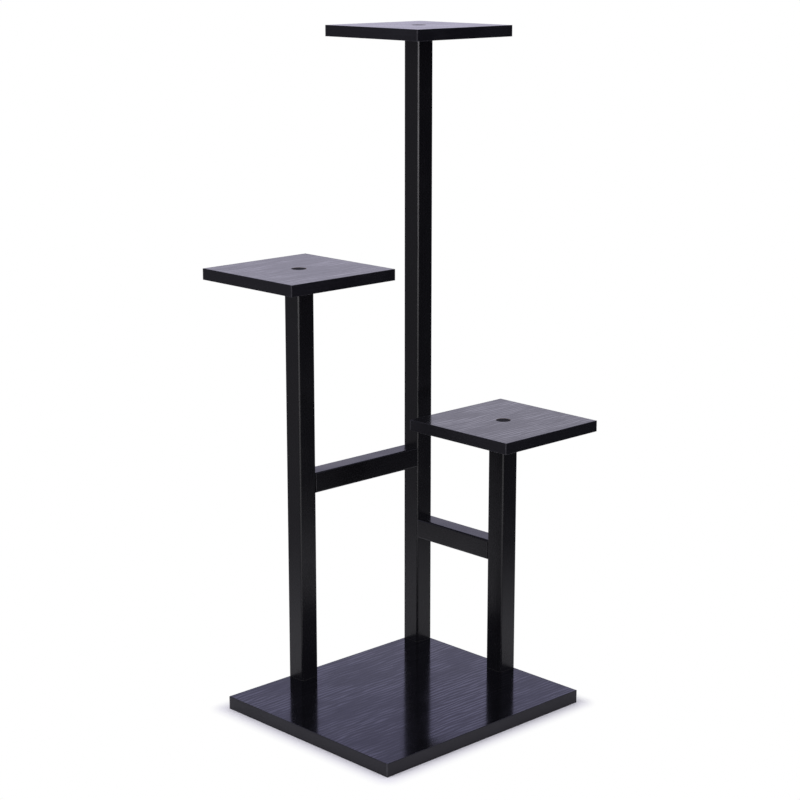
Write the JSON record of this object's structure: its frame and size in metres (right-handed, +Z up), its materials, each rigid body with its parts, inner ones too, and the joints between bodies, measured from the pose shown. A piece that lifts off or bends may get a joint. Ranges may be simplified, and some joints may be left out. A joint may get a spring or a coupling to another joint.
{
  "type": "tiered plant stand",
  "caption": "Tiered plant stand: a flat base board, square posts of different heights each carrying a square shelf, and short braces tying the posts together.",
  "frame": {"origin": "middle of the base board's underside, on the floor", "axes": "+Z up along the posts; +X along the base's long side towards the edge with the short post; +Y towards the edge with the middle and tall posts"},
  "size_m": [0.4792, 0.4292, 1],
  "materials": {
    "board_foil": "black wood-grain foil on board, satin",
    "edge_band": "black plastic edge strip, satin",
    "bar_foil": "black foil wrapped round board-material bar, satin",
    "cap_plastic": "black moulded plastic, matt",
    "zinc_steel": "zinc-plated steel",
    "cast_zinc": "die-cast zinc, dull",
    "beech": "bare beech"
  },
  "bodies": {
    "root": {"base_board": "board_foil", "base_band_front": "edge_band", "base_band_back": "edge_band", "base_band_left": "edge_band", "base_band_right": "edge_band", "tall_post": "bar_foil", "tall_post_foot_bolt": "zinc_steel", "tall_post_foot_insert": "zinc_steel", "tall_post_top_insert": "zinc_steel", "top_shelf_board": "board_foil", "top_shelf_band_front": "edge_band", "top_shelf_band_back": "edge_band", "top_shelf_band_left": "edge_band", "top_shelf_band_right": "edge_band", "top_shelf_bolt": "zinc_steel", "top_shelf_cap": "cap_plastic", "middle_post": "bar_foil", "middle_post_foot_bolt": "zinc_steel", "middle_post_foot_insert": "zinc_steel", "middle_post_top_insert": "zinc_steel", "middle_shelf_board": "board_foil", "middle_shelf_band_front": "edge_band", "middle_shelf_band_back": "edge_band", "middle_shelf_band_left": "edge_band", "middle_shelf_band_right": "edge_band", "middle_shelf_bolt": "zinc_steel", "middle_shelf_cap": "cap_plastic", "short_post": "bar_foil", "short_post_foot_bolt": "zinc_steel", "short_post_foot_insert": "zinc_steel", "short_post_top_insert": "zinc_steel", "low_shelf_board": "board_foil", "low_shelf_band_front": "edge_band", "low_shelf_band_back": "edge_band", "low_shelf_band_left": "edge_band", "low_shelf_band_right": "edge_band", "low_shelf_bolt": "zinc_steel", "low_shelf_cap": "cap_plastic", "back_brace": "bar_foil", "back_brace_left_cam_bolt": "zinc_steel", "back_brace_left_cam": "cast_zinc", "back_brace_left_dowel": "beech", "back_brace_right_cam_bolt": "zinc_steel", "back_brace_right_cam": "cast_zinc", "back_brace_right_dowel": "beech", "side_brace": "bar_foil", "side_brace_front_cam_bolt": "zinc_steel", "side_brace_front_cam": "cast_zinc", "side_brace_front_dowel": "beech", "side_brace_back_cam_bolt": "zinc_steel", "side_brace_back_cam": "cast_zinc", "side_brace_back_dowel": "beech"}
  },
  "joints": []
}
